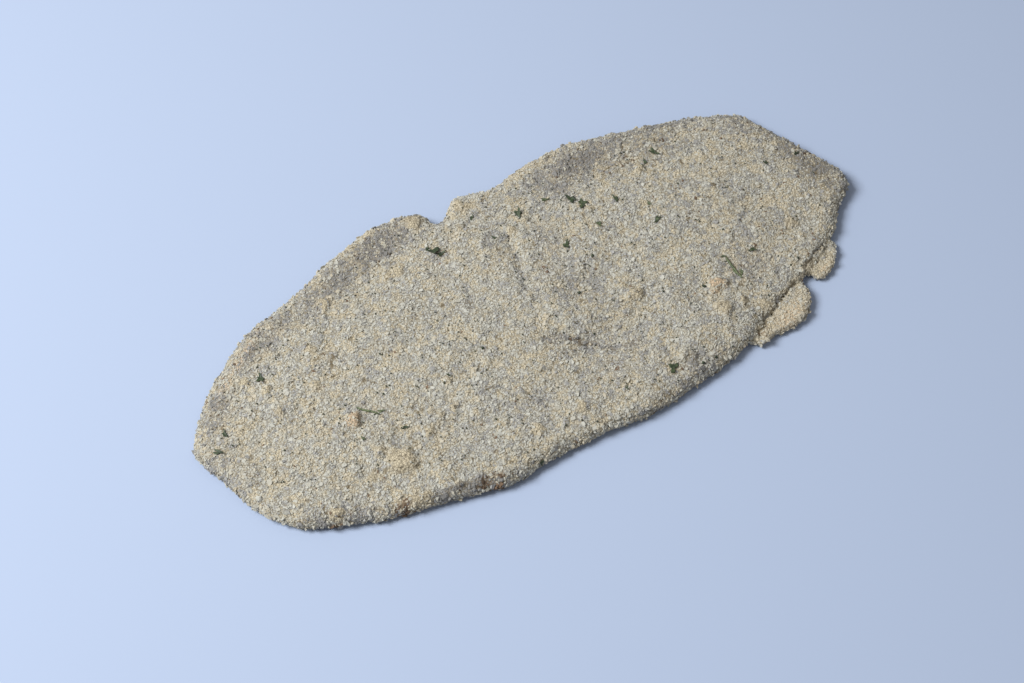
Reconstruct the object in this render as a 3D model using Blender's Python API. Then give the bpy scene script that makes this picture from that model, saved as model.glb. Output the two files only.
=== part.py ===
"""A raw breaded schnitzel: one long pounded cutlet in a dry breadcrumb coating.

The cutlet lies flat. +X runs along its length, +Y across it and +Z up, and the
origin is the middle of its underside. Sizes below are in millimetres.
"""

import math

import bmesh
import bpy
import numpy as np
from mathutils import Vector, noise
from mathutils.geometry import delaunay_2d_cdt

MM = 0.001

# Thickness of the meat with its coating.
MIDDLE_THICKNESS = 8.8
EDGE_THICKNESS = 6.6
EDGE_TAPER = 13.0

# The rounded rim: a soft shoulder above its widest line, a small turn below it.
RIM_LEVEL = 0.40
SHOULDER = 5.0
UNDERCUT = 2.6
SHOULDER_TURNS = (24, 48, 70, 90)
UNDERCUT_TURNS = (35, 65, 90)

# Spacing of the points along the rim and over the two faces.
RIM_STEP = 2.6
TOP_STEP = 4.6
BASE_STEP = 15.0
CURVE_STEPS = 12

# The rim seen from above, clockwise from the thin end.
THIN_END = ((-139.5, 5.0), (-131.0, 18.5), (-116.5, 32.0))
FAR_SIDE = (
    (-98.5, 42.5), (-77.0, 49.5), (-57.0, 57.5), (-39.0, 62.0), (-23.0, 61.0),
)
NOTCH = ((-17.5, 57.5), (-16.5, 53.0), (-13.0, 52.5), (-8.5, 57.5))
FAR_SHOULDER = (
    (-2.0, 61.0), (12.0, 58.5), (27.5, 61.0), (45.0, 62.0), (70.0, 58.0),
    (89.0, 54.5), (109.5, 48.0), (121.0, 40.5),
)
BROAD_END = ((131.5, 19.5), (138.0, 5.0), (139.5, -7.0), (130.5, -15.5))
TORN_CORNER = ((117.0, -27.5), (103.5, -36.0), (91.5, -40.0), (83.0, -43.0), (72.5, -48.5))
NEAR_SIDE = (
    (58.0, -55.0), (36.0, -59.0), (16.0, -61.5), (-8.0, -60.5), (-28.0, -61.0),
    (-46.0, -62.0), (-64.0, -58.5), (-84.0, -55.0), (-106.0, -48.0),
)
BLUNT_CORNER = ((-121.0, -40.0), (-129.5, -28.0), (-135.0, -13.0))
RIM_KNOTS = (
    THIN_END + FAR_SIDE + NOTCH + FAR_SHOULDER + BROAD_END + TORN_CORNER + NEAR_SIDE + BLUNT_CORNER
)

# Two torn tabs of coating that lie lower than the cutlet at its near corner.
SMALL_TAB_KNOTS = (
    (110.0, -30.0), (116.5, -26.5), (119.5, -29.0), (116.0, -35.0), (112.0, -39.0),
    (104.0, -41.0), (102.0, -35.5),
)
LARGE_TAB_KNOTS = (
    (90.0, -38.0), (96.0, -38.0), (97.5, -41.5), (95.5, -47.0), (89.5, -52.5), (83.0, -54.5),
    (74.0, -54.5), (66.5, -55.5), (66.0, -50.0), (74.0, -45.5), (83.0, -40.5),
)
SMALL_TAB_THICKNESS = 3.6
LARGE_TAB_THICKNESS = 4.1
TAB_CLEARANCE = 0.4
TAB_SHOULDER = 1.8
TAB_UNDERCUT = 1.2
TAB_LUMP_SIZE = 4.0
TAB_STEPS = (2.0, 3.0, 6.0)

# Broad swells and hollows of the top: centre x, y, half length, half width, turn in degrees, rise.
SWELLS = (
    (-70.0, -8.0, 62.0, 26.0, 8.0, 0.9),
    (70.0, 5.0, 44.0, 24.0, -10.0, 0.7),
    (12.0, -28.0, 20.0, 8.0, 8.0, -1.8),
    (24.0, -2.0, 15.0, 9.0, 40.0, -0.8),
    (-48.0, 45.0, 30.0, 7.0, 20.0, -1.2),
    (48.0, 44.0, 28.0, 7.0, -3.0, -1.4),
    (-104.0, 27.0, 24.0, 7.0, 38.0, -0.9),
    (40.0, -46.0, 30.0, 6.0, 6.0, 0.9),
    (-30.0, -50.0, 34.0, 7.0, 0.0, 0.7),
    (92.0, -30.0, 20.0, 7.0, 25.0, -0.8),
)

# A shallow fold that runs in from the far side: two ends, half width and depth.
FOLD_START = (6.0, 33.0)
FOLD_END = (0.0, -4.0)
FOLD_WIDTH = 2.6
FOLD_DEPTH = 1.0

# Places where the rim curls up off the table: x, y, reach along the rim, rise.
CURLS = (
    (-46.0, 60.0, 27.0, 2.4),
    (50.0, 61.0, 27.0, 2.6),
    (-108.0, 37.0, 20.0, 1.3),
    (139.0, -2.0, 16.0, 0.9),
    (-134.0, -14.0, 18.0, 0.7),
)
CURL_DEPTH = 15.0

# Small unevenness of the surface and of the rim.
LUMP_SIZE = 11.0
LUMP_RISE = 0.35
RIM_WAVE = 7.0
RIM_SWAY = 0.45

CRUMB_COLOUR = (0.50, 0.44, 0.33, 1.0)
CRUMB_ROUGHNESS = 0.9


def closed_curve(knots):
    """Return dense points of a smooth closed curve through the knots."""
    dense = []
    count = len(knots)
    for index in range(count):
        before, start, end, after = (Vector(knots[(index + k) % count]) for k in (-1, 0, 1, 2))
        times = [0.0]
        for first, second in ((before, start), (start, end), (end, after)):
            times.append(times[-1] + math.sqrt((second - first).length))
        for step in range(CURVE_STEPS):
            now = times[1] + (times[2] - times[1]) * step / CURVE_STEPS
            dense.append(centripetal_point((before, start, end, after), times, now))
    return dense


def centripetal_point(points, times, now):
    """Return one point of a centripetal Catmull-Rom span."""
    row = list(points)
    for level in (1, 2):
        for index in range(4 - level):
            low, high = times[index], times[index + level]
            row[index] = row[index].lerp(row[index + 1], (now - low) / (high - low))
    return row[0].lerp(row[1], (now - times[1]) / (times[2] - times[1]))


def even_points(dense, step):
    """Return points spaced evenly along a closed polyline."""
    lengths = [0.0]
    for index, point in enumerate(dense):
        lengths.append(lengths[-1] + (dense[(index + 1) % len(dense)] - point).length)
    count = round(lengths[-1] / step)
    even = []
    span = 0
    for index in range(count):
        target = lengths[-1] * index / count
        while lengths[span + 1] < target:
            span += 1
        share = (target - lengths[span]) / (lengths[span + 1] - lengths[span])
        even.append(dense[span].lerp(dense[(span + 1) % len(dense)], share))
    return even


def outward_normals(rim):
    """Return the unit normals of a closed rim that runs clockwise."""
    normals = []
    for index, point in enumerate(rim):
        along = rim[(index + 1) % len(rim)] - rim[index - 1]
        normals.append(Vector((-along.y, along.x)).normalized())
    return normals


def swayed(rim):
    """Return the rim with small uneven waves across its line."""
    moved = []
    for point, normal in zip(rim, outward_normals(rim)):
        wave = noise.noise(point.to_3d() / RIM_WAVE)
        moved.append(point + normal * wave * RIM_SWAY)
    return moved


def depths_inside(points, rim):
    """Return each point's distance to the rim, negative outside it."""
    spots = np.array([tuple(point) for point in points])[:, None, :]
    starts = np.array([tuple(point) for point in rim])
    ends = np.roll(starts, -1, axis=0)
    runs = ends - starts
    shares = ((spots - starts) * runs).sum(axis=2) / (runs**2).sum(axis=1)
    nearest = starts + np.clip(shares, 0.0, 1.0)[..., None] * runs
    gaps = np.sqrt(((spots - nearest) ** 2).sum(axis=2)).min(axis=1)
    above = (starts[:, 1] > spots[..., 1]) != (ends[:, 1] > spots[..., 1])
    rise = np.where(runs[:, 1] == 0.0, 1.0, runs[:, 1])
    crossing = starts[:, 0] + (spots[..., 1] - starts[:, 1]) / rise * runs[:, 0]
    inside = (above & (spots[..., 0] < crossing)).sum(axis=1) % 2 == 1
    return np.where(inside, gaps, -gaps)


def offset_ring(rim, depth):
    """Return the points a given depth inside the rim, without those that cross over."""
    ring = [point - normal * depth for point, normal in zip(rim, outward_normals(rim))]
    depths = depths_inside(ring, rim)
    return [point for point, found in zip(ring, depths) if found > depth * 0.93]


def lattice(rim, step, clear):
    """Return a triangular lattice of points at least a given depth inside the rim."""
    low_x, high_x = min(p.x for p in rim), max(p.x for p in rim)
    low_y, high_y = min(p.y for p in rim), max(p.y for p in rim)
    row_gap = step * math.sqrt(0.75)
    points = []
    for row in range(int((high_y - low_y) / row_gap) + 1):
        shift = step / 2 if row % 2 else 0.0
        for column in range(int((high_x - low_x) / step) + 1):
            points.append(Vector((low_x + shift + column * step, low_y + row * row_gap)))
    depths = depths_inside(points, rim)
    return [point for point, depth in zip(points, depths) if depth > clear]


def fold_depth(x, y):
    """Return how deep the fold is at a place."""
    start, end = Vector(FOLD_START), Vector(FOLD_END)
    run = end - start
    share = max(0.0, min(1.0, (Vector((x, y)) - start).dot(run) / run.length_squared))
    gap = (Vector((x, y)) - start.lerp(end, share)).length
    fade = math.sin(math.pi * (0.15 + 0.7 * share))
    return FOLD_DEPTH * fade * math.exp(-((gap / FOLD_WIDTH) ** 2))


def relief(x, y):
    """Return the rise of the cutlet's top over its plain thickness."""
    rise = -fold_depth(x, y)
    for centre_x, centre_y, half_length, half_width, turn, height in SWELLS:
        angle = math.radians(turn)
        along = (x - centre_x) * math.cos(angle) + (y - centre_y) * math.sin(angle)
        across = (y - centre_y) * math.cos(angle) - (x - centre_x) * math.sin(angle)
        rise += height * math.exp(-((along / half_length) ** 2) - (across / half_width) ** 2)
    return rise + LUMP_RISE * noise.noise(Vector((x, y, 0.0)) / LUMP_SIZE)


def curl(x, y, depth):
    """Return how far the rim's curl lifts a place."""
    if depth >= CURL_DEPTH:
        return 0.0
    fall = (1.0 - max(depth, 0.0) / CURL_DEPTH) ** 2
    lift = 0.0
    for centre_x, centre_y, reach, rise in CURLS:
        gap = math.hypot(x - centre_x, y - centre_y)
        lift += rise * fall * math.exp(-((gap / reach) ** 2))
    return lift


def cutlet_heights(x, y, depth):
    """Return the heights of the cutlet's underside, rim line and top at a place."""
    inward = 1.0 - math.exp(-max(depth, 0.0) / EDGE_TAPER)
    thickness = EDGE_THICKNESS + (MIDDLE_THICKNESS - EDGE_THICKNESS) * inward
    thickness += relief(x, y) * min(1.0, 0.4 + max(depth, 0.0) / SHOULDER)
    lift = curl(x, y, depth)
    return lift, lift + RIM_LEVEL * EDGE_THICKNESS, lift + thickness


def tab_heights(thickness):
    """Return the height rule of a torn tab of a given thickness."""

    def heights(x, y, depth):
        lump = LUMP_RISE * noise.noise(Vector((x, y, 0.0)) / TAB_LUMP_SIZE)
        top = TAB_CLEARANCE + thickness + lump
        return TAB_CLEARANCE, TAB_CLEARANCE + RIM_LEVEL * thickness, top

    return heights


def turned_depths(radius, turns):
    """Return the depths inside the rim of the points of a quarter turn."""
    return [radius * (1.0 - math.cos(math.radians(turn))) for turn in turns]


def quarter_round(depth, radius):
    """Return the share of a quarter turn's rise at a depth inside the rim."""
    left = max(0.0, 1.0 - max(depth, 0.0) / radius)
    return math.sqrt(1.0 - left * left)


def add_face(bm, rim, inner, radius, pick, heights):
    """Add one face of the slab: the area inside the rim, lifted by a height rule.

    pick chooses the face's own height from the rule: 0 for the underside, 2 for the top.
    """
    flat = rim + inner
    edges = [(index, (index + 1) % len(rim)) for index in range(len(rim))]
    points, _, faces, _, _, _ = delaunay_2d_cdt(flat, edges, [], 1, 1e-4)
    depths = depths_inside(points, rim)
    verts = []
    for point, depth in zip(points, depths):
        levels = heights(point.x, point.y, depth)
        share = quarter_round(depth, radius)
        height = levels[1] + (levels[pick] - levels[1]) * share
        verts.append(bm.verts.new(Vector((point.x, point.y, height)) * MM))
    for face in faces:
        bm.faces.new([verts[index] for index in face])


def make_slab(name, knots, shoulder, undercut, steps, heights):
    """Return an object for a rounded slab inside a closed rim."""
    rim_step, top_step, base_step = steps
    rim = swayed(even_points(closed_curve(knots), rim_step))
    bm = bmesh.new()
    sides = (
        (shoulder, SHOULDER_TURNS, top_step, 2),
        (undercut, UNDERCUT_TURNS, base_step, 0),
    )
    for radius, turns, step, pick in sides:
        inner = []
        for depth in turned_depths(radius, turns):
            inner += offset_ring(rim, depth)
        inner += lattice(rim, step, radius + step * 0.6)
        add_face(bm, rim, inner, radius, pick, heights)
    bmesh.ops.remove_doubles(bm, verts=bm.verts, dist=0.02 * MM)
    bmesh.ops.recalc_face_normals(bm, faces=bm.faces)
    mesh = bpy.data.meshes.new(name)
    bm.to_mesh(mesh)
    bm.free()
    mesh.shade_smooth()
    slab = bpy.data.objects.new(name, mesh)
    bpy.context.scene.collection.objects.link(slab)
    return slab


def crumb_material():
    """Return the material of the dry breadcrumb coating."""
    material = bpy.data.materials.new("breadcrumb_coating")
    material.use_nodes = True
    shader = material.node_tree.nodes["Principled BSDF"]
    shader.inputs["Base Color"].default_value = CRUMB_COLOUR
    shader.inputs["Roughness"].default_value = CRUMB_ROUGHNESS
    shader.inputs["Metallic"].default_value = 0.0
    return material


def grow_tab(cutlet, name, knots, thickness):
    """Join a low torn tab of coating to the cutlet."""
    tab = make_slab(name, knots, TAB_SHOULDER, TAB_UNDERCUT, TAB_STEPS, tab_heights(thickness))
    tab.hide_render = True
    tab.display_type = "WIRE"
    union = cutlet.modifiers.new(name, "BOOLEAN")
    union.operation = "UNION"
    union.object = tab


def centre_all(cutlet):
    """Move every object so that the middle of the cutlet's underside is the origin."""
    spots = np.array([tuple(vert.co) for vert in cutlet.data.vertices])
    middle = (spots.min(axis=0) + spots.max(axis=0)) / 2
    for slab in bpy.data.objects:
        slab.location = (-middle[0], -middle[1], 0.0)


def main():
    """Build the schnitzel."""
    for leftover in list(bpy.data.objects):
        bpy.data.objects.remove(leftover)
    steps = (RIM_STEP, TOP_STEP, BASE_STEP)
    cutlet = make_slab("schnitzel", RIM_KNOTS, SHOULDER, UNDERCUT, steps, cutlet_heights)
    cutlet.data.materials.append(crumb_material())
    grow_tab(cutlet, "small_torn_tab", SMALL_TAB_KNOTS, SMALL_TAB_THICKNESS)
    grow_tab(cutlet, "large_torn_tab", LARGE_TAB_KNOTS, LARGE_TAB_THICKNESS)
    centre_all(cutlet)


main()
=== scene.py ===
"""The looks of a raw breaded schnitzel: its crumb crust, loose grains, parsley and studio."""

import logging
import math
from dataclasses import dataclass
from enum import Enum
from typing import Any, Iterable, Optional, Union

import bmesh
import bpy
import numpy as np
from mathutils import Matrix, Vector, noise
from mathutils.bvhtree import BVHTree


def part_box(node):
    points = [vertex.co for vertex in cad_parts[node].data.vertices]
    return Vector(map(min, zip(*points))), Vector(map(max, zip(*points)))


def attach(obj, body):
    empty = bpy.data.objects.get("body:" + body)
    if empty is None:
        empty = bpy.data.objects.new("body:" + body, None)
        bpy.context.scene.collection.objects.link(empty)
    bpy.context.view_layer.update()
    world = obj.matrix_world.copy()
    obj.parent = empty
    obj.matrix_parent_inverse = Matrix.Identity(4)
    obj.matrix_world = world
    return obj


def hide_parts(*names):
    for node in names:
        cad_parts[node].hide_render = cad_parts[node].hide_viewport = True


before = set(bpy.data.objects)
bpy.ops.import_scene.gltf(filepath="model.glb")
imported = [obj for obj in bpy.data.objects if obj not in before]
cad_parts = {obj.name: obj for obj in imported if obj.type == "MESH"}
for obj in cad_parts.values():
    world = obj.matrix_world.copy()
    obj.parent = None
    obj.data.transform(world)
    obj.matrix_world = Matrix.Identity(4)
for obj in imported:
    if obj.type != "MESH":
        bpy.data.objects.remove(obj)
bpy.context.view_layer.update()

LOG = logging.getLogger("schnitzel")
NODE = "schnitzel"
BODY = "root"
MM = 0.001
BAKE_MAP = "OFBake"
NOISE_SEED = 7
GRAIN_TONE = "grain_tone"
WARMTH = "warmth"
LUMP_FIELD, RUFFLE_FIELD, CRACK_FIELD, BREAK_FIELD, FLOUR_FIELD, TONE_FIELD = 1, 21, 31, 37, 41, 51
FIELD_STEP = (7.1, 3.7, 5.3)
CAST_HEIGHT = 0.1
DOWN = Vector((0.0, 0.0, -1.0))

PLAIN = "breadcrumb_coating"
BROWNED = "toasted_crumb"

Colour = tuple[float, float, float]
Points = np.ndarray


# ---- shader writing


class Graph:
    """The node tree of one material, with one method that adds any node."""

    def __init__(self, name: str) -> None:
        """Make an empty material.

        Args:
            name: the material's name.
        """
        self.material = bpy.data.materials.new(name)
        self.material.use_nodes = True
        self.tree = self.material.node_tree
        self.tree.nodes.clear()

    def node(
        self,
        kind: str,
        settings: Optional[dict[str, Any]] = None,
        sockets: Optional[dict[Union[int, str], Any]] = None,
    ) -> bpy.types.Node:
        """Add a node.

        Args:
            kind: the node's type, such as ShaderNodeMath.
            settings: its properties, set first; stops holds a ramp's (place, colour) pairs.
            sockets: the value or link of each input, by name or index.

        Returns:
            The new node.
        """
        made = self.tree.nodes.new(kind)
        for key, value in (settings or {}).items():
            if key == "stops":
                self._set_stops(made.color_ramp, value)
            else:
                setattr(made, key, value)
        for key, value in (sockets or {}).items():
            self._feed(made.inputs[key], value)
        return made

    def _feed(self, target: bpy.types.NodeSocket, value: Any) -> None:
        """Link or set one input.

        Args:
            target: the input.
            value: a number, a colour, a socket or a signal.
        """
        if isinstance(value, Signal):
            value = value.socket
        if isinstance(value, bpy.types.NodeSocket):
            self.tree.links.new(value, target)
        elif target.type == "RGBA":
            target.default_value = (*value, 1.0)
        else:
            target.default_value = value

    @staticmethod
    def _set_stops(ramp: bpy.types.ColorRamp, stops: Iterable[tuple[float, Colour]]) -> None:
        """Give a ramp its stops.

        Args:
            ramp: the ramp.
            stops: the place and colour of each stop.
        """
        for index, (place, colour) in enumerate(stops):
            known = index < len(ramp.elements)
            stop = ramp.elements[index] if known else ramp.elements.new(place)
            stop.position = place
            stop.color = (*colour, 1.0)

    def attribute(self, name: str) -> "Signal":
        """Return a number stored on the mesh."""
        made = self.node("ShaderNodeAttribute", {"attribute_name": name})
        return Signal(self, made.outputs["Fac"])

    def places(self) -> bpy.types.NodeSocket:
        """Return the place on the object, in metres."""
        return self.node("ShaderNodeTexCoord").outputs["Object"]

    def noise(self, grain: float, detail: float = 2.0) -> "Signal":
        """Return smooth noise.

        Args:
            grain: the size of its blobs, in metres.
            detail: how many finer layers it has.

        Returns:
            A number about 0.5.
        """
        sockets = {"Vector": self.places(), "Scale": 1.0 / grain, "Detail": detail}
        return Signal(self, self.node("ShaderNodeTexNoise", {}, sockets).outputs[0])

    def cells(self, grain: float, feature: str = "F1") -> bpy.types.Node:
        """Return a Voronoi node with cells of a given size in metres."""
        sockets = {"Vector": self.places(), "Scale": 1.0 / grain}
        return self.node("ShaderNodeTexVoronoi", {"feature": feature}, sockets)

    def blend(self, share: Any, first: Any, second: Any) -> bpy.types.NodeSocket:
        """Return a colour between two, by a share from 0 to 1."""
        sockets = {0: share, 6: first, 7: second}
        return self.node("ShaderNodeMix", {"data_type": "RGBA"}, sockets).outputs[2]

    def bump(self, strength: float, distance: float, height: "Signal") -> bpy.types.NodeSocket:
        """Return a normal pushed about by a height, over a distance in metres."""
        sockets = {"Strength": strength, "Distance": distance, "Height": height}
        return self.node("ShaderNodeBump", {}, sockets).outputs[0]

    def finish(
        self,
        colour: Any,
        roughness: float,
        specular: float,
        normal: Optional[bpy.types.NodeSocket] = None,
    ) -> bpy.types.Material:
        """Close the tree with a Principled shader.

        Args:
            colour: the base colour, a colour or a socket.
            roughness: how matt the surface is.
            specular: how strong its sheen is.
            normal: the bumped normal, where there is one.

        Returns:
            The material.
        """
        sockets = {"Base Color": colour, "Roughness": roughness, "Specular IOR Level": specular}
        if normal:
            sockets["Normal"] = normal
        shader = self.node("ShaderNodeBsdfPrincipled", {}, sockets)
        self.node("ShaderNodeOutputMaterial", {}, {"Surface": shader.outputs[0]})
        return self.material


class Signal:
    """A number from a socket, on which Python's operators add Math nodes."""

    def __init__(self, graph: Graph, socket: bpy.types.NodeSocket) -> None:
        """Wrap a socket of a graph."""
        self.graph = graph
        self.socket = socket

    def _math(self, operation: str, first: Any, second: Any, third: Any = 0.0) -> "Signal":
        """Add one Math node.

        Args:
            operation: what it does.
            first: its first value, a number or a signal.
            second: its second value.
            third: its third value.

        Returns:
            Its result.
        """
        inputs = {0: first, 1: second, 2: third}
        made = self.graph.node("ShaderNodeMath", {"operation": operation}, inputs)
        return Signal(self.graph, made.outputs[0])

    def __add__(self, other: Any) -> "Signal":
        """Return self + other."""
        return self._math("ADD", self, other)

    __radd__ = __add__

    def __sub__(self, other: Any) -> "Signal":
        """Return self - other."""
        return self._math("SUBTRACT", self, other)

    def __rsub__(self, other: Any) -> "Signal":
        """Return other - self."""
        return self._math("SUBTRACT", other, self)

    def __mul__(self, other: Any) -> "Signal":
        """Return self * other."""
        return self._math("MULTIPLY", self, other)

    __rmul__ = __mul__

    def between(self, low: float, high: float) -> "Signal":
        """Return a smooth step.

        Args:
            low: where it starts from 0.
            high: where it reaches 1.

        Returns:
            A number from 0 to 1.
        """
        inputs = {"Value": self, "From Min": low, "From Max": high}
        made = self.graph.node("ShaderNodeMapRange", {"interpolation_type": "SMOOTHSTEP"}, inputs)
        return Signal(self.graph, made.outputs[0])


# ---- places on the cutlet


@dataclass(frozen=True)
class Footprint:
    """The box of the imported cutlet, which every place is worked out from."""

    low: Vector
    high: Vector

    @property
    def half(self) -> Vector:
        """Return half the box's sides."""
        return (self.high - self.low) / 2

    def place(self, across_x: float, across_y: float) -> tuple[float, float]:
        """Return the x and y in metres of a place given as shares of the half sides."""
        middle = (self.high + self.low) / 2
        return middle.x + across_x * self.half.x, middle.y + across_y * self.half.y


class Mood(Enum):
    """How a patch of the coating differs from the rest: in its own colour, or in painted light or
    shade.
    """

    # Damp: grey damp crumbs, and painted shade in grooves and on slopes that face away from the
    # lamp.
    DAMP_AND_SHADE = "damp"
    # Golden: golden crumbs, and along the far rim painted light on the lip's crest.
    GOLDEN = "golden"
    PEACH = "peach"
    TOASTED = "toasted"
    # Chalky: whitish crumbs, and painted light on the ridge beside the middle fold and along the
    # near edge.
    CHALKY_AND_PAINTED_LIGHT = "chalky"
    # Shaded: painted shade, in creases, cracks, around clumps and on rims and bands that face away
    # from the lamp.
    SHADED = "shaded"


@dataclass(frozen=True)
class Patch:
    """A soft-edged patch: its middle as shares of the half box, its reaches in millimetres."""

    mood: Mood
    x: float
    y: float
    length: float
    width: float
    turn: float = 0.0
    strength: float = 1.0
    steepness: float = 2.6

    def weight(self, spots: Points, footprint: Footprint) -> Points:
        """Return how strongly each spot lies in the patch.

        Args:
            spots: places in metres, one row each.
            footprint: the cutlet's box.

        Returns:
            One number for each spot.
        """
        centre = footprint.place(self.x, self.y)
        angle = math.radians(self.turn)
        aside = spots[:, 0] - centre[0]
        ahead = spots[:, 1] - centre[1]
        along = (aside * math.cos(angle) + ahead * math.sin(angle)) / (self.length * MM)
        across = (ahead * math.cos(angle) - aside * math.sin(angle)) / (self.width * MM)
        return self.strength * np.exp(-((along**2 + across**2) ** (self.steepness / 2)))


@dataclass(frozen=True)
class Crease:
    """A groove, or a ridge of negative depth: its course as shares, its sizes in millimetres."""

    course: tuple[tuple[float, float], ...]
    width: float
    depth: float
    # By default a groove is painted grey and darker: damp crumbs and painted shade in the groove.
    mood: Mood = Mood.DAMP_AND_SHADE
    strength: float = 1.0
    floor: float = 0.4

    def weight(self, spots: Points, footprint: Footprint) -> Points:
        """Return how strongly each spot of the top, above the floor, lies in the groove.

        Args:
            spots: places in metres, one row each.
            footprint: the cutlet's box.

        Returns:
            One number from 0 to 1 for each spot.
        """
        nearest = np.full(len(spots), np.inf)
        course = [np.array(footprint.place(*point)) for point in self.course]
        for start, end in zip(course[:-1], course[1:]):
            run = end - start
            share = np.clip((spots[:, :2] - start) @ run / (run @ run), 0.0, 1.0)
            gap = np.linalg.norm(spots[:, :2] - start - share[:, None] * run, axis=1)
            np.minimum(nearest, gap, out=nearest)
        above = spots[:, 2] > footprint.half.z * self.floor
        return np.exp(-((nearest / (self.width * MM)) ** 2)) * above


@dataclass(frozen=True)
class Clump:
    """A lump of stuck crumbs: its middle as shares of the half box, its sizes in millimetres."""

    x: float
    y: float
    radius: float
    rise: float
    mood: Mood = Mood.GOLDEN
    stretch: float = 1.0
    turn: float = 0.0
    stain: tuple[float, float, float] = (1.1, 1.5, 4.0)
    bulk: tuple[float, float, float] = (0.95, 1.0, 3.5)

    def _spread(self, share: float, strength: float, steepness: float) -> Patch:
        """Make a patch in the clump's shape.

        Args:
            share: its reach as a share of the radius.
            strength: how strong it is in the middle.
            steepness: how steeply it ends.

        Returns:
            The patch.
        """
        reach = self.radius * share
        length = reach * self.stretch
        return Patch(self.mood, self.x, self.y, length, reach, self.turn, strength, steepness)

    def patch(self) -> Patch:
        """Return the patch of colour that the clump makes."""
        return self._spread(*self.stain)

    def swell(self, spots: Points, footprint: Footprint) -> Points:
        """Return how high up the clump each spot lies, from 0 to 1."""
        return self._spread(*self.bulk).weight(spots, footprint)


def noise_at(spots: Points, grain: float, field: float) -> Points:
    """Return smooth noise from -1 to 1 at each spot.

    Args:
        spots: places in metres.
        grain: the size of its blobs in metres.
        field: the number of the field of noise.

    Returns:
        One number for each spot.
    """
    shift = Vector(step * field for step in FIELD_STEP)
    return np.array([noise.noise(Vector(spot) / grain + shift) for spot in spots])


@dataclass(frozen=True)
class Heaps:
    """Small heaps into which the crumbs have stuck, each with its own height and tint."""

    reach: float
    rise: float
    flat_share: float = 0.35
    waviness: float = 0.45
    wave: float = 1.7
    seam: float = 0.45
    height_key: float = 57.3
    lot_key: float = 31.7
    shuffle: float = 7.13

    def read(self, spots: Points) -> tuple[Points, Points]:
        """Find the heap that each spot belongs to.

        Args:
            spots: places in metres.

        Returns:
            The spots' rises in metres, and their heaps' lots from 0 to 1.
        """
        found = [self._heap(Vector(spot) / self.reach) for spot in spots]
        rises, lots = np.array(found).T
        return rises, lots

    def draws(self, spots: Points) -> Points:
        """Return one even draw from 0 to 1 for each spot, the same all over a heap."""
        return (self.read(spots)[1] * self.shuffle) % 1.0

    def _heap(self, spot: Vector) -> tuple[float, float]:
        """Find the heap of one spot.

        Args:
            spot: the place, in reaches.

        Returns:
            The spot's rise and the heap's lot.
        """
        bent = spot + noise.noise_vector(spot * self.wave) * self.waviness
        distances, middles = noise.voronoi(bent)
        seam = min(1.0, (distances[1] - distances[0]) / self.seam)
        above = noise.cell(middles[0] * self.height_key) - self.flat_share
        height = max(0.0, above) / (1.0 - self.flat_share)
        return self.rise * height * seam * (2.0 - seam), noise.cell(middles[0] * self.lot_key)


NEAR_EDGE = (
    (-0.60, -0.845), (-0.50, -0.89), (-0.40, -0.925), (-0.30, -0.945), (-0.10, -0.93),
    (0.10, -0.945), (0.20, -0.915), (0.30, -0.875), (0.42, -0.84),
)
TAB_SEAM = ((0.47, -0.86), (0.53, -0.77), (0.575, -0.71), (0.62, -0.66), (0.67, -0.63))
MIDDLE_CRACK = ((0.018, 0.30), (0.010, 0.20), (0.000, 0.10), (0.012, -0.02))
NEAR_FOLD = ((-0.04, -0.26), (0.02, -0.32), (0.07, -0.41), (0.12, -0.51), (0.20, -0.57))
SMALL_SEAM = ((0.70, -0.60), (0.73, -0.55), (0.77, -0.50), (0.81, -0.47))
# Damp and shaded creases are painted shade in their grooves; the chalky ridges beside the middle
# fold and along the near edge are painted light; the golden seam is golden crumbs.
CREASES = (
    Crease(((0.040, 0.50), (0.030, 0.42), (0.022, 0.34)), 1.0, 1.1),
    Crease(MIDDLE_CRACK, 0.9, 0.6, strength=0.6),
    Crease(((0.068, 0.48), (0.048, 0.35), (0.030, 0.22)), 2.4, -0.6, Mood.CHALKY_AND_PAINTED_LIGHT, 0.8),
    Crease(NEAR_FOLD, 2.0, 1.2),
    Crease(((0.02, -0.32), (0.07, -0.42), (0.12, -0.51)), 0.8, 0.4, Mood.SHADED, 0.6),
    Crease(TAB_SEAM, 2.2, 0.0, Mood.GOLDEN, 1.4),
    Crease(TAB_SEAM, 0.9, 1.8, Mood.SHADED, 0.7),
    Crease(SMALL_SEAM, 0.8, 1.2, Mood.SHADED, 0.6),
    Crease(NEAR_EDGE, 2.6, -0.4, Mood.CHALKY_AND_PAINTED_LIGHT, 0.3),
)
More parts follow.
